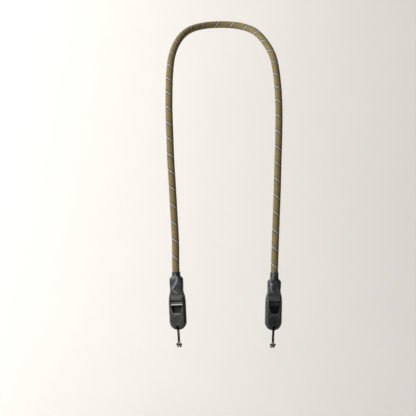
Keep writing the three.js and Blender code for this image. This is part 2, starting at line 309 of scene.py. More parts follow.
def table_value(rows, at):
    """Reads the second column of a table at a value of its first."""
    for (x0, y0), (x1, y1) in zip(rows, rows[1:]):
        if at <= x1:
            return y0 + (y1 - y0) * max(0.0, (at - x0) / (x1 - x0))
    return rows[-1][1]


def smooth_row(rows, at):
    """Reads a table's other columns, easing through each row."""
    k = 0
    while k < len(rows) - 2 and at > rows[k + 1][0]:
        k += 1
    previous, low, high, following = (
        rows[max(k - 1, 0)], rows[k], rows[k + 1], rows[min(k + 2, len(rows) - 1)]
    )
    span = high[0] - low[0]
    t = min(1.0, max(0.0, (at - low[0]) / span))
    made = []
    for p, a, b, f in zip(previous[1:], low[1:], high[1:], following[1:]):
        start = (b - p) / max(high[0] - previous[0], 1e-6) * span
        stop = (f - a) / max(following[0] - low[0], 1e-6) * span
        made.append(
            a * (2 * t**3 - 3 * t**2 + 1) + start * (t**3 - 2 * t**2 + t)
            + b * (3 * t**2 - 2 * t**3) + stop * (t**3 - t**2)
        )
    return made


def carried_frames(points):
    """Direction and two sideways axes at each point, carried with no twist."""
    frames, front = [], Vector((0.0, -1.0, 0.0))
    last = len(points) - 1
    for k in range(last + 1):
        along = (points[min(k + 1, last)] - points[max(k - 1, 0)]).normalized()
        front = (front - along * front.dot(along)).normalized()
        frames.append((front.copy(), along.cross(front)))
    return frames


def mapped_grid(columns, rows, place, pattern, layer):
    """A grid of quads whose points are set by place(column, row), with doubles
    merged where it closes on itself. Its UV map holds pattern(column, row)."""
    bm = bmesh.new()
    uv = bm.loops.layers.uv.new(layer)
    bmesh.ops.create_grid(bm, x_segments=columns, y_segments=rows, size=0.5)
    spots = {
        v: (round((v.co.x + 0.5) * columns), round((v.co.y + 0.5) * rows))
        for v in bm.verts
    }
    for face in bm.faces:
        for loop in face.loops:
            loop[uv].uv = pattern(*spots[loop.vert])
    for vert, spot in spots.items():
        vert.co = place(*spot)
    bmesh.ops.remove_doubles(bm, verts=bm.verts, dist=2e-6)
    return bm


def close_ends(bm):
    """Caps both open ends of a long mesh."""
    bmesh.ops.edgeloop_fill(bm, edges=[e for e in bm.edges if e.is_boundary])
    bmesh.ops.recalc_face_normals(bm, faces=bm.faces)


def points_in(geometry):
    return [g for g in geometry if isinstance(g, bmesh.types.BMVert)]


def carried(bm, made, across):
    """Moves the points of what was just extruded along a vector in millimetres."""
    bmesh.ops.translate(bm, verts=points_in(made["geom"]), vec=[c * MM for c in across])
    bmesh.ops.recalc_face_normals(bm, faces=bm.faces)


def new_object(name, bm):
    """An object of the mesh under work, which is freed."""
    mesh = bpy.data.meshes.new(name)
    bm.to_mesh(mesh)
    bm.free()
    made = bpy.data.objects.new(name, mesh)
    bpy.context.scene.collection.objects.link(made)
    return made


def thrown_away(made):
    mesh = made.data
    bpy.data.objects.remove(made)
    bpy.data.meshes.remove(mesh)


def worked(made):
    """The mesh that an object's modifiers leave, for more work, without the object.
    Its points and faces are put in order, so that each run goes on in the same way."""
    bpy.context.view_layer.update()
    graph = bpy.context.evaluated_depsgraph_get()
    result = bpy.data.meshes.new_from_object(made.evaluated_get(graph))
    spots = [tuple(v.co) for v in result.vertices]
    order = sorted(range(len(spots)), key=spots.__getitem__)
    rank = {old: new for new, old in enumerate(order)}
    rings = [[rank[k] for k in face.vertices] for face in result.polygons]
    bpy.data.meshes.remove(result)
    thrown_away(made)
    bm = bmesh.new()
    points = [bm.verts.new(spots[k]) for k in order]
    firsts = [ring.index(min(ring)) for ring in rings]
    for ring in sorted(ring[k:] + ring[:k] for ring, k in zip(rings, firsts)):
        bm.faces.new([points[k] for k in ring])
    return bm


def braid(points, radius, yarns, lead, relief, start_angle=0.0, twist=None, striped=False):
    """A braided cord along a fine line: two sets of yarns that pass over two and
    under two. Returns the mesh and its ring centres. The UV map counts yarns."""
    total = running_lengths(points)[-1]
    rings = round(total / (lead / (4 * yarns)))
    centres = spaced(points, rings)
    frames = carried_frames(centres)

    def crown(across):
        return 1.0 - (2.0 * across) ** 2 * YARN_CROWN

    def height(i, j):
        """Height of the upper yarn, 0 to 1. Stripe yarns pass over three."""
        best = 0.0
        for near_i in {math.floor(i + 0.5), math.ceil(i - 0.5)}:
            at = (near_i + j) % 4
            lift = 0.5 + 0.5 * math.cos(math.pi * (at - 0.5) / 2)
            if in_stripe(math.floor(j + 0.5)):
                lift = max(0.0, math.cos(math.pi * ((at + 2) % 4 - 2) / 2))
            best = max(best, crown(i - near_i) * lift)
        for near_j in {math.floor(j + 0.5), math.ceil(j - 0.5)}:
            at = (i + near_j) % 4
            lift = 0.5 + 0.5 * math.cos(math.pi * (at - 2.5) / 2)
            if in_stripe(near_j):
                lift = max(0.0, math.cos(math.pi * (at - 2) / 4))
            best = max(best, crown(j - near_j) * lift)
        return best

    def in_stripe(yarn):
        return striped and abs(yarn % yarns - STRIPE_YARN) < 2

    turn = 2 * yarns
    heights = {(c, k): height(c / 2, (c + k) / 2) for c in range(turn) for k in range(turn)}

    def place(column, ring):
        angle = math.pi * (column + ring / 2) / yarns + start_angle
        if twist:
            angle += math.radians(table_value(twist, total * ring / rings))
        reach = radius + relief * (heights[column % turn, ring % turn] - MEAN_HEIGHT)
        front, side = frames[ring]
        return centres[ring] + reach * (math.cos(angle) * front + math.sin(angle) * side)

    def pattern(column, ring):
        return column / 2, (column + ring) / 2

    bm = mapped_grid(2 * yarns, rings, place, pattern, "braid")
    close_ends(bm)
    return bm, centres


def end_matrix(side):
    """Where an end sits: right, back and up axes at the sleeve's mouth."""
    mouth, lean, turn, _ = ENDS[side]
    up = -Vector(lean).normalized()
    right = (Vector((1.0, 0.0, 0.0)) - up * up.x).normalized()
    back = up.cross(right)
    axes = Matrix((right, back, up)).transposed().to_4x4()
    return Matrix.Translation(mouth) @ axes @ Matrix.Rotation(math.radians(turn), 4, "Z")


def end_point(right, back, down):
    """A point on an end from millimetres, before the end is placed."""
    return Vector((right * MM, back * MM, -down * MM))


def sleeve_rows(side):
    """The rows of one sleeve's outside, from its mouth down."""
    tight = ENDS[side][3]
    shoulder = tuple((tight + down, *shape) for down, *shape in SLEEVE_SHOULDER)
    return (SLEEVE_COLLAR, *shoulder, *SLEEVE_SKIRT)


def wear_and_highlight_layer(bm, least=math.radians(11), span=math.radians(25)):
    """Marks the edges that stand out, which are painted paler: partly scuffs from use, partly a
    painted highlight.
    """
    layer = bm.verts.layers.float.new("wear_and_highlight")
    for vert in bm.verts:
        sharpest = max(
            (e.calc_face_angle_signed(0.0) for e in vert.link_edges if e.is_manifold),
            default=0.0,
        )
        vert[layer] = min(1.0, max(0.0, (sharpest - least) / span))


def finished(name, bm, material, stands_for, smooth=180.0):
    """Makes the mesh one named piece that rides with the strap and stands for
    its CAD node."""
    piece = new_object(name, bm)
    piece.data.materials.append(material)
    piece.data.shade_smooth()
    piece.data.set_sharp_from_angle(angle=math.radians(smooth))
    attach(piece, BODY)
    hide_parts(stands_for)
    return piece


def hung(side, name, bm, material, stands_for, smooth=180.0):
    """Places a mesh on one end of the strap as that end's piece."""
    bmesh.ops.transform(bm, matrix=end_matrix(side), verts=bm.verts)
    return finished(f"{name}_{side}", bm, material, f"{stands_for}_{side}", smooth)


def even_normals(piece):
    """Keeps the light even over flats that end in small rounded edges."""
    evened = piece.modifiers.new("even_normals", "WEIGHTED_NORMAL")
    evened.keep_sharp = True


def slab(corners, across):
    """A solid from a flat ring of points, carried along a vector."""
    bm = bmesh.new()
    face = bm.faces.new([bm.verts.new(end_point(*corner)) for corner in corners])
    carried(bm, bmesh.ops.extrude_face_region(bm, geom=[face]), across)
    return bm


def prism(outline, front, back):
    """A solid from an outline of (right, down) points between two depths."""
    return slab([(x, front, down) for x, down in outline], (0.0, back - front, 0.0))


def cross_prism(outline, half_width):
    """A solid from an outline of (back, down) points, from side to side."""
    return slab([(-half_width, y, down) for y, down in outline], (2 * half_width, 0.0, 0.0))


def upright(half_width, top, bottom):
    """A rectangle's outline of (right, down) points."""
    return ((-half_width, top), (half_width, top), (half_width, bottom), (-half_width, bottom))


def rod(diameter, length, axis, centre, segments):
    """A round solid, made upright and then turned a quarter about the named axis."""
    bm = bmesh.new()
    bmesh.ops.create_cone(
        bm, cap_ends=True, segments=segments, radius1=diameter * MM / 2,
        radius2=diameter * MM / 2, depth=length * MM,
    )
    bmesh.ops.rotate(bm, verts=bm.verts, matrix=Matrix.Rotation(math.pi / 2, 3, axis))
    bmesh.ops.translate(bm, verts=bm.verts, vec=end_point(*centre))
    return bm


def drum(diameter, front, back, down):
    """A round solid that faces the front."""
    return rod(diameter, back - front, "X", (0.0, (front + back) / 2, down), 64)


def carved(bm, steps, edge):
    """Cuts or joins other solids with the first, then rounds its sharp edges."""
    blank = new_object("blank", bm)
    tools = []
    for number, (operation, shape) in enumerate(steps):
        tool = new_object(f"cutter_{number}", shape)
        tools.append(tool)
        cut = blank.modifiers.new(tool.name, "BOOLEAN")
        cut.operation, cut.solver, cut.object = operation, "EXACT", tool
    made = worked(blank)
    for tool in tools:
        thrown_away(tool)
    bmesh.ops.remove_doubles(made, verts=made.verts, dist=8e-6)
    bmesh.ops.dissolve_limit(
        made, angle_limit=math.radians(0.6), verts=made.verts, edges=made.edges
    )
    rounding = new_object("rounding", made)
    soften = rounding.modifiers.new("edges", "BEVEL")
    soften.width, soften.segments, soften.profile = edge * MM, 2, 0.5
    soften.limit_method, soften.angle_limit = "ANGLE", math.radians(32)
    soften.use_clamp_overlap = True
    made = worked(rounding)
    bmesh.ops.remove_doubles(made, verts=made.verts, dist=4e-6)
    return made


def flat_pattern(bm):
    """A UV map of right and down in millimetres, for grain that follows an end."""
    uv = bm.loops.layers.uv.new("face")
    for face in bm.faces:
        for loop in face.loops:
            loop[uv].uv = (loop.vert.co.x / MM, -loop.vert.co.z / MM)


# Finishes


def node(tree, kind, sockets=None, **settings):
    """Adds a shader node; each socket takes a value or another node's output."""
    made = tree.nodes.new("ShaderNode" + kind)
    for key, value in settings.items():
        setattr(made, key, value)
    for key, value in (sockets or {}).items():
        if isinstance(value, bpy.types.NodeSocket):
            tree.links.new(value, made.inputs[key])
        else:
            made.inputs[key].default_value = value
    return made


def maths(tree, operation, a, b=0.0):
    return node(tree, "Math", {0: a, 1: b}, operation=operation).outputs[0]


def blended(tree, share, a, b):
    """Mixes two colours, each a value or another node's output."""
    made = node(tree, "Mix", data_type="RGBA", clamp_factor=True)
    for socket, value in ((made.inputs[0], share), (made.inputs[6], a), (made.inputs[7], b)):
        if isinstance(value, bpy.types.NodeSocket):
            tree.links.new(value, socket)
        elif socket is made.inputs[0]:
            socket.default_value = value
        else:
            socket.default_value = (*value[:3], 1.0)
    return made.outputs[2]


def scaled(tree, value, low, high, to_low, to_high):
    sockets = {0: value, 1: low, 2: high, 3: to_low, 4: to_high}
    return node(tree, "MapRange", sockets, clamp=True).outputs[0]


def joined(tree, x, y, z):
    return node(tree, "CombineXYZ", {0: x, 1: y, 2: z}).outputs[0]


def noise(tree, vector, scale, detail=3.0, roughness=0.5):
    return node(
        tree, "TexNoise",
        {"Vector": vector, "Scale": scale, "Detail": detail, "Roughness": roughness},
    ).outputs["Fac"]


def new_finish(name, **sockets):
    """An empty finish with one shader, whose fixed sockets are set directly."""
    material = bpy.data.materials.new(name)
    material.use_nodes = True
    tree = material.node_tree
    shader = tree.nodes["Principled BSDF"]
    for key, value in sockets.items():
        shader.inputs[key.replace("_", " ")].default_value = value
    return material, tree, shader


def object_place(tree):
    return node(tree, "TexCoord").outputs["Object"]


def own_map(tree, layer):
    return node(tree, "UVMap", uv_map=layer).outputs["UV"]


def marked(tree, layer):
    return node(tree, "Attribute", attribute_name=layer).outputs["Fac"]


def times(colour, factor, more=0.0):
    return tuple(min(1.0, factor * c + more) for c in colour)


def bump(tree, shader, height, strength, distance):
    made = node(tree, "Bump", {"Height": height, "Strength": strength, "Distance": distance})
    tree.links.new(made.outputs["Normal"], shader.inputs["Normal"])


def braid_finish(name, yarns, main, shade, stripe=None, edge=None, sheen=0.22):
    """Braided yarn: each yarn its own shade, fibres along it, painted shade in the grooves
    between yarns and, where wanted, a light stripe with dark edges in one set of yarns."""
    material, tree, shader = new_finish(
        name, Specular_IOR_Level=sheen, Sheen_Weight=sheen, Sheen_Roughness=0.5,
        Sheen_Tint=(*times(main, 1.4, 0.35), 1.0),
    )
    place = node(tree, "SeparateXYZ", {0: own_map(tree, "braid")})
    i, j = place.outputs[0], place.outputs[1]
    near_i, near_j = maths(tree, "ROUND", i), maths(tree, "ROUND", j)
    crossing = maths(tree, "FLOORED_MODULO", maths(tree, "ADD", near_i, near_j), 4.0)
    edge_of_top = 1.5
    if stripe is not None:
        yarn = maths(tree, "FLOORED_MODULO", near_j, float(yarns))
        off = maths(tree, "ABSOLUTE", maths(tree, "SUBTRACT", yarn, STRIPE_YARN))
        in_stripe = maths(tree, "LESS_THAN", off, 2.0)
        edge_of_top = maths(tree, "SUBTRACT", 1.5, in_stripe)
    first_on_top = maths(tree, "LESS_THAN", crossing, edge_of_top)
    across_i, across_j = maths(tree, "SUBTRACT", i, near_i), maths(tree, "SUBTRACT", j, near_j)

    def either(a, b):
        made = node(tree, "Mix", {0: first_on_top, 2: b, 3: a}, data_type="FLOAT")
        return made.outputs[0]

    own = either(
        maths(tree, "FLOORED_MODULO", near_i, float(yarns)),
        maths(tree, "ADD", maths(tree, "FLOORED_MODULO", near_j, float(yarns)), 40.0),
    )
    across = either(across_i, across_j)
    along = either(j, i)
    shade_of_yarn = node(tree, "TexWhiteNoise", {"W": own}, noise_dimensions="1D").outputs[0]
    fibre = noise(
        tree, joined(tree, maths(tree, "MULTIPLY", across, 9.0), along, own), 1.7, 3.0, 0.6
    )
    cloudy = noise(tree, object_place(tree), 90.0, 2.0)
    colour = blended(tree, scaled(tree, shade_of_yarn, 0.0, 1.0, 0.0, 0.42), main, shade)
    colour = blended(tree, scaled(tree, fibre, 0.35, 0.75, 0.0, 0.55), colour, shade)
    pale = times(main, 1.35, 0.01)
    colour = blended(tree, scaled(tree, cloudy, 0.52, 0.78, 0.0, 0.4), colour, pale)
    if stripe is not None:
        second = maths(tree, "SUBTRACT", 1.0, first_on_top)
        light = maths(tree, "MULTIPLY", maths(tree, "LESS_THAN", off, 1.0), second)
        band = maths(tree, "MULTIPLY", in_stripe, second)
        worn_stripe = blended(
            tree, scaled(tree, fibre, 0.4, 0.8, 0.0, 0.35), stripe, times(stripe, 0.45)
        )
        colour = blended(tree, band, colour, edge)
        colour = blended(tree, light, colour, worn_stripe)
    # Painted shade: each yarn darkens towards its edges, in the grooves between yarns.
    groove = scaled(tree, maths(tree, "ABSOLUTE", across), 0.30, 0.50, 0.0, 0.55)
    colour = blended(tree, groove, colour, times(shade, 0.22))
    tree.links.new(colour, shader.inputs["Base Color"])
    tree.links.new(scaled(tree, fibre, 0.2, 0.8, 0.66, 0.9), shader.inputs["Roughness"])
    bump(tree, shader, fibre, 0.5, 0.00012)
    return material


def worn_and_highlighted(tree, colour, bright, most):
    """Paints the standing edges a little paler, in broken patches: partly scuffs from use, partly
    a painted highlight.
    """
    patches = noise(tree, object_place(tree), 520.0, 3.0, 0.65)
    broken = scaled(tree, patches, 0.38, 0.66, 0.15, 1.0)
    wear_and_highlight_mask = maths(tree, "MULTIPLY", marked(tree, "wear_and_highlight"), broken)
    return blended(tree, maths(tree, "MULTIPLY", wear_and_highlight_mask, most), colour, bright)


def sleeve_finish(colour):
    """Shrunk rubber sleeve: satin black with fine wrinkles, a dusty bloom and pale crease ridges
    that are partly scuffs and partly a painted highlight.
    """
    material, tree, shader = new_finish(
        "black_sleeve", Specular_IOR_Level=0.46, Coat_Weight=0.10, Coat_Roughness=0.3
    )
    place = object_place(tree)
    cloud = noise(tree, place, 160.0, 4.0, 0.6)
    fine = noise(tree, place, 1900.0, 3.0, 0.6)
    wrinkle = noise(
        tree, node(tree, "Mapping", {0: place, 3: (1.0, 1.0, 2.6)}).outputs[0],
        420.0, 4.0, 0.55,
    )
    tone = blended(
        tree, scaled(tree, cloud, 0.35, 0.75, 0.0, 1.0), colour, times(colour, 1.9, 0.004)
    )
    # Painted highlight and scuffs: a pale bluish grey along the crease ridges and standing edges.
    tone = worn_and_highlighted(tree, tone, (0.235, 0.250, 0.275), 0.9)
    tree.links.new(tone, shader.inputs["Base Color"])
    tree.links.new(scaled(tree, cloud, 0.3, 0.7, 0.26, 0.40), shader.inputs["Roughness"])
    height = maths(tree, "ADD", wrinkle, maths(tree, "MULTIPLY", fine, 0.22))
    bump(tree, shader, height, 0.4, 0.00035)
    return material


def webbing_finish(colour):
    """Woven nylon: a fine twill on the ribs, with a soft sheen."""
    material, tree, shader = new_finish(
        "black_webbing", Specular_IOR_Level=0.30, Sheen_Weight=0.25, Sheen_Roughness=0.45
    )
    place = own_map(tree, "weave")
    cells = node(tree, "SeparateXYZ", {0: place})
    slant = maths(tree, "ADD", maths(tree, "MULTIPLY", cells.outputs[0], 2.0), cells.outputs[1])
    twill = maths(tree, "PINGPONG", slant, 1.0)
    thread = noise(tree, place, 3.4, 2.0, 0.6)
    tone = blended(tree, scaled(tree, twill, 0.1, 0.9, 0.0, 0.8), colour, times(colour, 2.6))
    tone = blended(tree, scaled(tree, thread, 0.45, 0.75, 0.0, 0.5), tone, times(colour, 0.5))
    tree.links.new(tone, shader.inputs["Base Color"])
    tree.links.new(scaled(tree, thread, 0.3, 0.7, 0.52, 0.72), shader.inputs["Roughness"])
    height = maths(tree, "ADD", twill, maths(tree, "MULTIPLY", thread, 0.5))
    bump(tree, shader, height, 0.5, 0.00012)
    return material


def plastic_finish(name, colour, hatch=0.0, rough=(0.36, 0.5)):
    """Moulded plastic: fine spark-eroded grain, edges painted paler (partly scuffs, partly a
    painted highlight), a painted highlight on the bridge, painted shade in the recesses
    and, where wanted, a shallow cross-hatched grip."""
    material, tree, shader = new_finish(name, Specular_IOR_Level=0.5)
    place = object_place(tree)
    grain = noise(tree, place, 2400.0, 2.0, 0.55)
    haze = noise(tree, place, 210.0, 4.0, 0.6)
    tone = blended(
        tree, scaled(tree, haze, 0.35, 0.72, 0.0, 1.0), colour, times(colour, 1.7, 0.002)
    )
    height = grain
    if hatch:
        flat = node(tree, "SeparateXYZ", {0: own_map(tree, "face")})
        x, y = flat.outputs[0], flat.outputs[1]
        lines = [
            maths(tree, "PINGPONG", maths(tree, operation, x, y), 0.6)
            for operation in ("ADD", "SUBTRACT")
        ]
        ridge = maths(tree, "MINIMUM", *lines)
        cut = scaled(tree, ridge, 0.02, 0.2, 1.0, 0.0)
        tone = blended(tree, maths(tree, "MULTIPLY", cut, hatch), tone, times(colour, 0.3))
        height = maths(tree, "SUBTRACT", height, maths(tree, "MULTIPLY", cut, 1.6 * hatch))
    # Standing edges painted paler: partly scuffs from use, partly a painted highlight.
    tone = worn_and_highlighted(tree, tone, (0.20, 0.20, 0.21), 0.6)
    # Painted highlight: a pale grey on the bridge's lower slope, where the light glints.
    painted_highlight = maths(tree, "MULTIPLY", marked(tree, "painted_highlight"), 0.9)
    tone = blended(tree, painted_highlight, tone, (0.34, 0.34, 0.35))
    # Painted shade: the walls of the window, mouth and pocket darken with depth, and are made
    # rougher.
    recess_shade = marked(tree, "recess_shade")
    tone = blended(tree, maths(tree, "MULTIPLY", recess_shade, 0.9), tone, times(colour, 0.2))
    tree.links.new(tone, shader.inputs["Base Color"])
    wear_and_highlight_mask = marked(tree, "wear_and_highlight")
    roughness = maths(
        tree, "ADD", scaled(tree, haze, 0.3, 0.7, *rough), maths(tree, "MULTIPLY", recess_shade, 0.4)
    )
    tree.links.new(
        maths(tree, "SUBTRACT", roughness, maths(tree, "MULTIPLY", wear_and_highlight_mask, 0.2)),
        shader.inputs["Roughness"],
    )
    bump(tree, shader, height, 0.3, 0.00012)
    return material


def backdrop_finish(colour):
    """Pale paper, barely mottled."""
    material, tree, shader = new_finish("pale_backdrop", Specular_IOR_Level=0.1, Roughness=0.95)
    mottle = noise(tree, object_place(tree), 3.0, 4.0)
    tone = blended(tree, scaled(tree, mottle, 0.3, 0.7, 0.0, 1.0), colour, times(colour, 0.985))
    tree.links.new(tone, shader.inputs["Base Color"])
    return material


# Operators


class STRAP_OT_stage(Operator):
    """Set the camera, the soft lights and the pale sweep"""

    bl_idname = "neck_strap.stage"
    bl_label = "Stage"

    EYE = (-0.0205, -2.268, -0.275)  # level with the middle of the strap
    AIM = (0.0, -0.12, -0.22)
    FLOOR, WALL, HEIGHT = -0.80, 2.7, 2.6
    BEND = 1.1
    HALF_WIDTH, FRONT = 5.0, -4.2
    WALL_AIM = (-0.9, WALL, -0.1)
    ROOM = 0.9  # how bright the room looks past the sweep

    def execute(self, context):
        settings = context.scene.neck_strap.stage
        self.camera(context.scene, settings)
        self.lights(context.scene, settings)
        self.sweep(settings)
        context.scene.view_settings.view_transform = "Standard"
        return {"FINISHED"}

    def camera(self, scene, settings):
        eye = bpy.data.cameras.new("camera")
        eye.lens, eye.sensor_width = settings.lens, 36.0
        eye.dof.use_dof = False
        camera = bpy.data.objects.new("camera", eye)
        camera.location = self.EYE
        camera.rotation_euler = (math.pi / 2, 0.0, 0.0)
        scene.collection.objects.link(camera)
        scene.camera = camera

    def lights(self, scene, settings):
        for name, power, size, spot, aim, tint in (
            ("key_light", settings.key, 1.7, (-1.65, -1.41, 1.0), self.AIM, (1.0, 0.98, 0.95)),
            ("fill_light", settings.fill, 1.6, (1.9, -1.5, 0.3), self.AIM, (0.94, 0.97, 1.0)),
            (
                "backdrop_light", settings.back, 1.6, (-1.9, 0.8, 1.6), self.WALL_AIM,
                (1.0, 0.99, 0.99),
            ),
        ):
            lamp = bpy.data.lights.new(name, "AREA")
            lamp.energy, lamp.color = power, tint
            lamp.shape, lamp.size, lamp.size_y = "RECTANGLE", size, size * 1.3
            light = bpy.data.objects.new(name, lamp)
            light.location = spot
            light.rotation_euler = (
                (Vector(aim) - Vector(spot)).to_track_quat("-Z", "Y").to_euler()
            )
            scene.collection.objects.link(light)
        world = bpy.data.worlds.new("surround")
        world.use_nodes = True
        tree = world.node_tree
        dim = tree.nodes["Background"]
        dim.inputs["Color"].default_value = (1.0, 0.965, 0.91, 1.0)
        dim.inputs["Strength"].default_value = settings.surround
        # Past the sweep's edges the room is seen as pale as the sweep is.
        pale = node(
            tree, "Background", {"Color": (*settings.backdrop, 1.0), "Strength": self.ROOM}
        )
        seen = node(tree, "LightPath").outputs["Is Camera Ray"]
        shown = node(tree, "MixShader", {0: seen, 1: dim.outputs[0], 2: pale.outputs[0]})
        tree.links.new(shown.outputs[0], tree.nodes["World Output"].inputs["Surface"])
        scene.world = world

    def sweep(self, settings):
        bm = bmesh.new()
        front = bm.verts.new((-self.HALF_WIDTH, self.FRONT, self.FLOOR))
        bend = bm.verts.new((-self.HALF_WIDTH, self.WALL - self.BEND, self.FLOOR))
        bm.edges.new((front, bend))
        turned = bmesh.ops.spin(
            bm, geom=[bend], axis=(1.0, 0.0, 0.0), angle=math.pi / 2, steps=24,
            cent=(-self.HALF_WIDTH, self.WALL - self.BEND, self.FLOOR + self.BEND),
            use_merge=False,
        )
        top = points_in(turned["geom_last"])[0]
        bm.edges.new((top, bm.verts.new((-self.HALF_WIDTH, self.WALL, self.HEIGHT))))
        wide = bmesh.ops.extrude_edge_only(bm, edges=bm.edges[:])
        carried(bm, wide, (2 * self.HALF_WIDTH / MM, 0.0, 0.0))
        sweep = new_object("pale_sweep", bm)
        sweep.data.shade_smooth()
        sweep.data.materials.append(backdrop_finish(tuple(settings.backdrop)))


class STRAP_OT_rope(Operator):
    """Braid the round rope along its route"""

    bl_idname = "neck_strap.rope"
    bl_label = "Rope"

    def execute(self, context):
        rope = context.scene.neck_strap.rope
        points = [Vector(p) for p in ROPE_ROUTE]
        for side, at_start in (("left", True), ("right", False)):
            mouth, hang = Vector(ENDS[side][0]), Vector(ENDS[side][1]).normalized()
            run = [mouth + hang * d for d in (ROPE_IN_SLEEVE, 0.0, -ROPE_STRAIGHT)]
            points = run + points if at_start else points + run[::-1]
        bm, centres = braid(
            smooth_route(points), rope.diameter / 2, rope.yarns, rope.lead, rope.relief,
            STRIPE_ANGLE - 2 * math.pi * STRIPE_YARN / rope.yarns, ROPE_TWIST, True,
        )
        finish = braid_finish(
            "olive_braid", rope.yarns, tuple(rope.olive), tuple(rope.olive_dark),
            tuple(rope.stripe_light), tuple(rope.stripe_dark),
        )
        piece = finished("braided_rope", bm, finish, "rope")
        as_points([tuple(p) for p in centres[::6]] + [tuple(centres[-1])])
        return {"FINISHED"}


class STRAP_OT_anchor_cords(Operator):
    """Braid the thin cord of each anchor, from its disc to its hitch"""

    bl_idname = "neck_strap.anchor_cords"
    bl_label = "Anchor cords"

    YARNS, LEAD, RELIEF = 8, 0.0052, 0.00016
    EXIT_BELOW = 2.0  # from the disc's middle down to where the cord leaves it

    def execute(self, context):
        ends = context.scene.neck_strap.ends
        finish = braid_finish(
            "dark_braid", self.YARNS, tuple(ends.cord), times(ends.cord, 0.4), sheen=0.06
        )
        for side in ENDS:
            place = end_matrix(side)
            line = [place @ p for p in self.route()]
            fine = smooth_route(line, 12)
            bm, centres = braid(fine, ends.cord_diameter / 2, self.YARNS, self.LEAD, self.RELIEF)
            piece = finished(
                f"anchor_braid_{side}", bm, finish, f"anchor_cord_{side}"
            )
            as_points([tuple(p) for p in centres[::2]] + [tuple(centres[-1])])
        return {"FINISHED"}

    def route(self):
        half = [end_point(*spot) for spot in CORD_ROUTE]
        other = [Vector((-p.x, p.y, p.z)) for p in reversed(half)]
        return half + [end_point(*CORD_BIGHT)] + other


class STRAP_OT_sleeves(Operator):
    """Shrink a creased sleeve over each joint of rope and webbing"""

    bl_idname = "neck_strap.sleeves"
    bl_label = "Sleeves"

    AROUND, DOWN_STEPS, LIP_STEPS, FINE_STEPS = 128, 80, 6, 2000
    SIDEWAYS = 0.4  # share of a crease's height that widens the sleeve
    FADE = 2.0  # depth over which a crease fades towards the sleeve's sides
    HOLLOW, HOLLOW_AT = 0.25, 2.4  # hollow beside a crease, by its height and half width

    def execute(self, context):
        ends = context.scene.neck_strap.ends
        finish = sleeve_finish(tuple(ends.sleeve))
        for side in ENDS:
            bm = self.shape(side, ends.sleeve_wall / MM)
            hung(side, "shrunk_sleeve", bm, finish, "sleeve")
        return {"FINISHED"}

    def shape(self, side, wall):
        rows = sleeve_rows(side)
        bottom = rows[-1][0]
        profile = [(bottom * k / self.DOWN_STEPS, 0.0) for k in range(self.DOWN_STEPS + 1)]
        turn = [math.pi * k / self.LIP_STEPS for k in range(1, self.LIP_STEPS)]
        profile += [(bottom + wall / 2 * math.sin(a), wall / 2 * (1 - math.cos(a))) for a in turn]
        inner = self.DOWN_STEPS // 3
        profile += [(bottom * (1 - k / inner), wall) for k in range(inner + 1)]
        profile += [(-wall / 2 * math.sin(a), wall / 2 * (1 + math.cos(a))) for a in turn]

        def outside(down, angle, inset):
            half_width, half_depth, square = smooth_row(rows, down)
            s, c = math.sin(angle), math.cos(angle)
            return (
                (half_width - inset) * math.copysign(abs(s) ** (2 / square), s),
                -(half_depth - inset) * math.copysign(abs(c) ** (2 / square), c),
            )

        middle = [
            Vector((*outside(bottom / 2, 2 * math.pi * k / self.FINE_STEPS, 0.0), 0.0))
            for k in range(self.FINE_STEPS + 1)
        ]
        gone = running_lengths(middle)
        angles = [
            2 * math.pi * bisect_right(gone, gone[-1] * k / self.AROUND) / len(middle)
            for k in range(self.AROUND)
        ]

        def place(column, row):
            down, inset = profile[row % len(profile)]
            angle = angles[column % self.AROUND]
            x, y = outside(min(max(down, 0.0), bottom), angle, inset)
            if inset < wall / 2:
                lift = self.crease(side, x, y, down)
                reach = math.hypot(x, y)
                x, y = x * (1 + self.SIDEWAYS * lift / reach), y * (1 + lift / reach)
            return end_point(x, y, down)

        def pattern(column, row):
            return column / self.AROUND, profile[row % len(profile)][0]

        bm = mapped_grid(self.AROUND, len(profile), place, pattern, "wrap")
        bmesh.ops.recalc_face_normals(bm, faces=bm.faces)
        wear_and_highlight_layer(bm, math.radians(14))
        layer = bm.verts.layers.float["wear_and_highlight"]
        # The crease ridges are painted pale: partly scuffs, partly a painted highlight.
        for vert in bm.verts:
            x, y, down = vert.co.x / MM, vert.co.y / MM, -vert.co.z / MM
            lift = self.crease(side, x, y, down)
            vert[layer] = max(vert[layer] * 0.5, min(1.0, max(0.0, lift)))
        return bm

    def crease(self, side, x, y, down):
        """How far the sleeve stands out over its creases at one point."""
        lift = 0.0
        spot = Vector((x, down))
        for facing, line, high, half in SLEEVE_CREASES[side]:
            if facing * y <= 0:
                continue
            near = 1e9
            for a, b in zip(line, line[1:]):
                a, b = Vector(a), Vector(b)
                share = min(1.0, max(0.0, intersect_point_line(spot, a, b)[1]))
                near = min(near, (spot - a.lerp(b, share)).length)
            high *= min(1.0, abs(y) / self.FADE)
            lift = max(lift, high * math.exp(-((near / half) ** 2)))
            beside = (near - self.HOLLOW_AT * half) / half
            lift -= self.HOLLOW * high * math.exp(-(beside**2))
        return lift


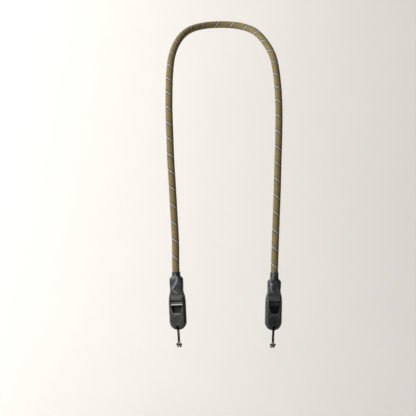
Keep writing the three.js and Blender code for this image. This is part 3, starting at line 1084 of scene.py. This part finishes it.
class STRAP_OT_webbing_loops(Operator):
    """Fold a webbing loop round each housing's bar"""

    bl_idname = "neck_strap.webbing_loops"
    bl_label = "Webbing loops"

    ALONG, FACE_STEPS, EDGE_STEPS = 90, 44, 4
    RIBS, RIB_HEIGHT = 11, 0.11
    ROUND_EDGE = 0.3  # width of a rounded edge, by the thickness
    WRAP_STEPS, WRAP_PAST = 24, 18  # steps round the bar, degrees past half a turn

    def execute(self, context):
        ends = context.scene.neck_strap.ends
        finish = webbing_finish(tuple(ends.webbing))
        for side in ENDS:
            bm = self.shape(ends.web_width / MM, ends.web_thickness / MM)
            hung(side, "webbing", bm, finish, "webbing_loop")
        return {"FINISHED"}

    def middle_line(self, thick):
        """The webbing's middle from its front end round the bar to its back end."""
        half = (WEB_SEWN_GAP + thick) / 2
        round_bar = BAR_DIAMETER / 2 + GAP + thick / 2
        arc = []
        lift = math.radians(self.WRAP_PAST)
        for k in range(self.WRAP_STEPS + 1):
            a = -lift + (math.pi + 2 * lift) * k / self.WRAP_STEPS
            back, down = -round_bar * math.cos(a), round_bar * math.sin(a)
            arc.append(Vector((0.0, BAR_BACK + back, BAR_DOWN + down)))
        front = [Vector((0.0, -half, d)) for d in (WEB_TOP, WEB_SEWN_TO)]
        back = [Vector((0.0, half, d)) for d in (WEB_SEWN_TO, WEB_TOP)]
        return spaced(smooth_route(front + arc + back, 10), self.ALONG)

    def shape(self, width, thick):
        line = self.middle_line(thick)
        edge = thick * self.ROUND_EDGE
        flat = width - 2 * edge
        rim = []
        for sign in (-1, 1):
            for k in range(self.FACE_STEPS):
                share = k / (self.FACE_STEPS - 1) - 0.5
                rib = self.RIB_HEIGHT * (0.5 + 0.5 * math.cos(2 * math.pi * self.RIBS * share))
                rim.append((-sign * share * flat, sign * (thick / 2 - self.RIB_HEIGHT + rib)))
            for k in range(1, self.EDGE_STEPS):
                a = math.pi * k / self.EDGE_STEPS
                high = (thick / 2 - self.RIB_HEIGHT / 2) * math.cos(a)
                rim.append((-sign * (flat / 2 + edge * math.sin(a)), sign * high))

        def place(column, row):
            ahead = line[min(row + 1, self.ALONG)] - line[max(row - 1, 0)]
            out = Vector((0.0, -ahead.z, ahead.y)).normalized()
            x, y = rim[column % len(rim)]
            spot = line[row] + out * y
            return end_point(x, spot.y, spot.z)

        def pattern(column, row):
            return rim[column % len(rim)][0] * 2.2, row * 1.6

        bm = mapped_grid(len(rim), self.ALONG, place, pattern, "weave")
        close_ends(bm)
        return bm


class STRAP_OT_housings(Operator):
    """Mould each quick-release housing with its bar, window, mouth and pocket"""

    bl_idname = "neck_strap.housings"
    bl_label = "Housings"

    SHOULDER, CUT_EDGE = 4.0, 0.4
    PAST = 3.0  # how far a cutter reaches past the housing
    UNRUBBED, DARK = 1.4, 2.2  # depths behind the front where the painted shade in the recesses begins and is darkest
    # The bridge between window and mouth: depth behind the front, down.
    BRIDGE = ((1.6, 41.6), (1.2, 42.7), (1.3, 44.1), (1.2, 44.3), (0.65, 45.6))
    # How strongly each bridge's lower slope gets a painted highlight: the left end faces the
    # light, the right end is in shade.
    RUBBED = {"left": 1.0, "right": 0.0}

    def execute(self, context):
        ends = context.scene.neck_strap.ends
        finish = plastic_finish("black_plastic", tuple(ends.housing))
        front = -ends.housing_thickness / 2
        for side in ENDS:
            bm = self.shape(ends)
            flat_pattern(bm)
            wear_and_highlight_layer(bm)
            self.recess_shade_layer(bm, front)
            self.bridge_highlight_layer(bm, front, self.RUBBED[side])
            even_normals(
                hung(side, "release_housing", bm, finish, "housing", CREASE)
            )
        return {"FINISHED"}

    def recess_shade_layer(self, bm, front):
        """Marks the walls of the window, mouth and pocket for painted shade that deepens with
        depth, and for a rougher finish.
        """
        layer = bm.verts.layers.float.new("recess_shade")
        for vert in bm.verts:
            depth = (vert.co.y - front) / MM
            within = abs(vert.co.x) < (WINDOW_WIDTH / 2 + GAP) * MM
            low_enough = -vert.co.z < (HOUSING_BOTTOM - 1.0) * MM
            before_back = vert.co.y < (WINDOW_BACK + GAP) * MM
            if within and low_enough and before_back:
                share = (depth - self.UNRUBBED) / (self.DARK - self.UNRUBBED)
                vert[layer] = min(1.0, max(0.0, share))

    def bridge_highlight_layer(self, bm, front, most):
        """Marks the bridge's lower slope for a painted highlight, as strong as most."""
        layer = bm.verts.layers.float.new("painted_highlight")
        top = self.BRIDGE[-2][1]
        for vert in bm.verts:
            within = abs(vert.co.x) < WINDOW_WIDTH / 2 * MM + 1e-6
            on_slope = top - 0.1 < -vert.co.z / MM < MOUTH_TOP - 0.1
            if within and on_slope and vert.co.y < front + self.BRIDGE[0][0] * MM:
                vert[layer] = most

    def blank(self, width, thick, edge, edge_depth):
        """The uncut housing. Its depth is stretched while its rim is bevelled, so that
        the bevel can be as deep as it should be once the stretch is taken back."""
        bm = bmesh.new()
        half, top = width / 2, HOUSING_TOP_WIDTH / 2
        round_at = HOUSING_BOTTOM - half
        stretch = edge / edge_depth
        deep = thick * stretch
        y = -deep / 2
        corner = bm.verts.new(end_point(top, y, HOUSING_TOP))
        shoulder = bm.verts.new(end_point(half, y, HOUSING_SHOULDER))
        side = bm.verts.new(end_point(half, y, round_at))
        bm.edges.new((corner, shoulder))
        bm.edges.new((shoulder, side))
        turned = bmesh.ops.spin(
            bm, geom=[side], cent=end_point(0.0, y, round_at), axis=(0.0, 1.0, 0.0),
            angle=math.pi, steps=36, use_merge=False,
        )
        end = points_in(turned["geom_last"])[0]
        far_shoulder = bm.verts.new(end_point(-half, y, HOUSING_SHOULDER))
        far_corner = bm.verts.new(end_point(-top, y, HOUSING_TOP))
        bm.edges.new((end, far_shoulder))
        bm.edges.new((far_shoulder, far_corner))
        bm.edges.new((far_corner, corner))
        bmesh.ops.edgeloop_fill(bm, edges=bm.edges[:])
        made = bmesh.ops.extrude_face_region(bm, geom=bm.faces[:])
        carried(bm, made, (0.0, deep, 0.0))

        shoulders = [
            e for e in bm.edges
            if all(abs(v.co.z + HOUSING_SHOULDER * MM) < 1e-6 for v in e.verts)
            and abs(e.verts[0].co.x - e.verts[1].co.x) < 1e-6
        ]
        bmesh.ops.bevel(
            bm, geom=shoulders, offset=self.SHOULDER * MM, offset_type="OFFSET",
            affect="EDGES", segments=4, profile=0.5, material=-1,
        )
        rim = [
            e for e in bm.edges
            if all(abs(abs(v.co.y) - deep * MM / 2) < 1e-6 for v in e.verts)
            and e.verts[0].co.y * e.verts[1].co.y > 0
        ]
        bmesh.ops.bevel(
            bm, geom=rim, offset=edge * MM, offset_type="OFFSET",
            affect="EDGES", segments=1, profile=0.5, material=-1,
        )
        bmesh.ops.scale(bm, vec=(1.0, 1 / stretch, 1.0), verts=bm.verts)
        return bm

    def shape(self, ends):
        width, thick = ends.housing_width / MM, ends.housing_thickness / MM
        edge, edge_depth = ends.housing_edge / MM, ends.housing_edge_depth / MM
        front = -thick / 2
        roof, floor = front + FRONT_WALL, front + FRONT_WALL + CAVITY_DEPTH
        out = front - self.PAST
        half_window = WINDOW_WIDTH / 2
        window = prism(
            upright(half_window, HOUSING_TOP - self.PAST, WINDOW_BOTTOM), out, WINDOW_BACK
        )
        bar = rod(BAR_DIAMETER, WINDOW_WIDTH + 1.0, "Y", (0.0, BAR_BACK, BAR_DOWN), 32)
        wide, narrow = MOUTH_TOP_WIDTH / 2, MOUTH_BOTTOM_WIDTH / 2
        mouth = prism(
            (
                (-wide, MOUTH_TOP), (wide, MOUTH_TOP),
                (narrow, MOUTH_BOTTOM), (-narrow, MOUTH_BOTTOM),
            ),
            out, floor,
        )
        half_pocket = ends.disc_diameter / MM / 2 + GAP
        channel = prism(upright(half_pocket, MOUTH_BOTTOM - 4, DISC_DOWN), roof, floor)
        bridge = cross_prism(
            (
                (out, WINDOW_BOTTOM - 1), (front + self.BRIDGE[0][0], WINDOW_BOTTOM - 1),
                *((front + depth, down) for depth, down in self.BRIDGE),
                (front + self.BRIDGE[-1][0], MOUTH_TOP + 1), (out, MOUTH_TOP + 1),
            ),
            half_window,
        )
        top_slope = cross_prism(
            (
                (out, HOUSING_TOP - 1), (front + TOP_SLOPE_DEPTH, HOUSING_TOP - 1),
                (front + TOP_SLOPE_DEPTH, HOUSING_TOP), (front, TOP_SLOPE_TO),
                (out, TOP_SLOPE_TO),
            ),
            width,
        )
        lead_out = cross_prism(
            (
                (out, MOUTH_BOTTOM - 2), (out, MOUTH_BOTTOM + LIP_DOWN),
                (front, MOUTH_BOTTOM + LIP_DOWN), (front + LIP_DEPTH, MOUTH_BOTTOM),
                (front + LIP_DEPTH, MOUTH_BOTTOM - 2),
            ),
            narrow,
        )
        groove = prism(
            upright(GROOVE_WIDTH / 2, DISC_DOWN, HOUSING_BOTTOM + self.PAST), out, floor - 0.25
        )
        pocket = drum(2 * half_pocket, roof, floor, DISC_DOWN)
        opening = drum(DISC_FACE + 2 * GAP, out, roof + 1.0, DISC_DOWN)
        return carved(
            self.blank(width, thick, edge, edge_depth),
            (
                ("DIFFERENCE", top_slope), ("DIFFERENCE", window), ("UNION", bar),
                ("DIFFERENCE", bridge),
                ("DIFFERENCE", mouth), ("DIFFERENCE", lead_out), ("DIFFERENCE", channel),
                ("DIFFERENCE", pocket), ("DIFFERENCE", opening), ("DIFFERENCE", groove),
            ),
            self.CUT_EDGE,
        )


class STRAP_OT_anchor_discs(Operator):
    """Turn the anchor disc that sits in each housing"""

    bl_idname = "neck_strap.anchor_discs"
    bl_label = "Anchor discs"

    SLOT_WIDTH, SLOT_DEPTH, SLOT_FROM, SLOT_EDGE = 4.2, 2.2, 69.0, 0.12
    DISH, RIM = 0.35, 0.9

    def execute(self, context):
        ends = context.scene.neck_strap.ends
        finish = plastic_finish("disc_plastic", tuple(ends.disc), hatch=0.7, rough=(0.42, 0.56))
        for side in ENDS:
            bm = self.shape(ends.disc_diameter / MM)
            flat_pattern(bm)
            wear_and_highlight_layer(bm)
            even_normals(
                hung(side, "release_disc", bm, finish, "anchor_disc", CREASE)
            )
        return {"FINISHED"}

    def shape(self, diameter):
        flange, face = diameter / 2, DISC_FACE / 2
        bm = bmesh.new()
        outline = (
            (0.0, DISC_FRONT + self.DISH), (face - 2.4, DISC_FRONT + self.DISH * 0.8),
            (face - self.RIM - 0.3, DISC_FRONT + self.DISH * 0.5),
            (face - self.RIM, DISC_FRONT), (face - 0.35, DISC_FRONT), (face, DISC_FRONT + 0.35),
            (face, DISC_FLANGE), (flange - 0.3, DISC_FLANGE), (flange, DISC_FLANGE + 0.3),
            (flange, DISC_BACK - 0.3), (flange - 0.3, DISC_BACK), (0.0, DISC_BACK),
        )
        verts = [bm.verts.new(end_point(r, y, DISC_DOWN)) for r, y in outline]
        edges = [bm.edges.new(pair) for pair in zip(verts, verts[1:])]
        bmesh.ops.spin(
            bm, geom=verts + edges, cent=end_point(0.0, 0.0, DISC_DOWN), axis=(0.0, 1.0, 0.0),
            angle=2 * math.pi, steps=72, use_merge=True,
        )
        bmesh.ops.remove_doubles(bm, verts=bm.verts, dist=1e-6)
        bmesh.ops.recalc_face_normals(bm, faces=bm.faces)
        slot = prism(
            upright(self.SLOT_WIDTH / 2, self.SLOT_FROM, DISC_DOWN + diameter),
            CORD_IN_DISC - self.SLOT_DEPTH / 2, CORD_IN_DISC + self.SLOT_DEPTH / 2,
        )
        return carved(bm, (("DIFFERENCE", slot),), self.SLOT_EDGE)


class STRAP_PT_panel(Panel):
    """Lists the steps that build the strap"""

    bl_idname = "STRAP_PT_panel"
    bl_label = "Neck Strap"
    bl_space_type = "VIEW_3D"
    bl_region_type = "UI"
    bl_category = "Neck Strap"

    def draw(self, context):
        settings = context.scene.neck_strap
        for step in STEPS:
            self.layout.operator(step.bl_idname)
        for group in (settings.rope, settings.ends, settings.stage):
            box = self.layout.box()
            for key in group.__annotations__:
                box.prop(group, key)


STEPS = (
    STRAP_OT_stage,
    STRAP_OT_rope,
    STRAP_OT_anchor_cords,
    STRAP_OT_sleeves,
    STRAP_OT_webbing_loops,
    STRAP_OT_housings,
    STRAP_OT_anchor_discs,
)
CLASSES = (RopeSettings, EndSettings, StageSettings, StrapSettings, *STEPS, STRAP_PT_panel)


def register():
    for cls in CLASSES:
        bpy.utils.register_class(cls)
    bpy.types.Scene.neck_strap = PointerProperty(type=StrapSettings)


def unregister():
    del bpy.types.Scene.neck_strap
    for cls in reversed(CLASSES):
        bpy.utils.unregister_class(cls)


def main():
    register()
    for step in STEPS:
        group, name = step.bl_idname.split(".")
        getattr(getattr(bpy.ops, group), name)()
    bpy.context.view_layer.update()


if __name__ == "__main__":
    main()
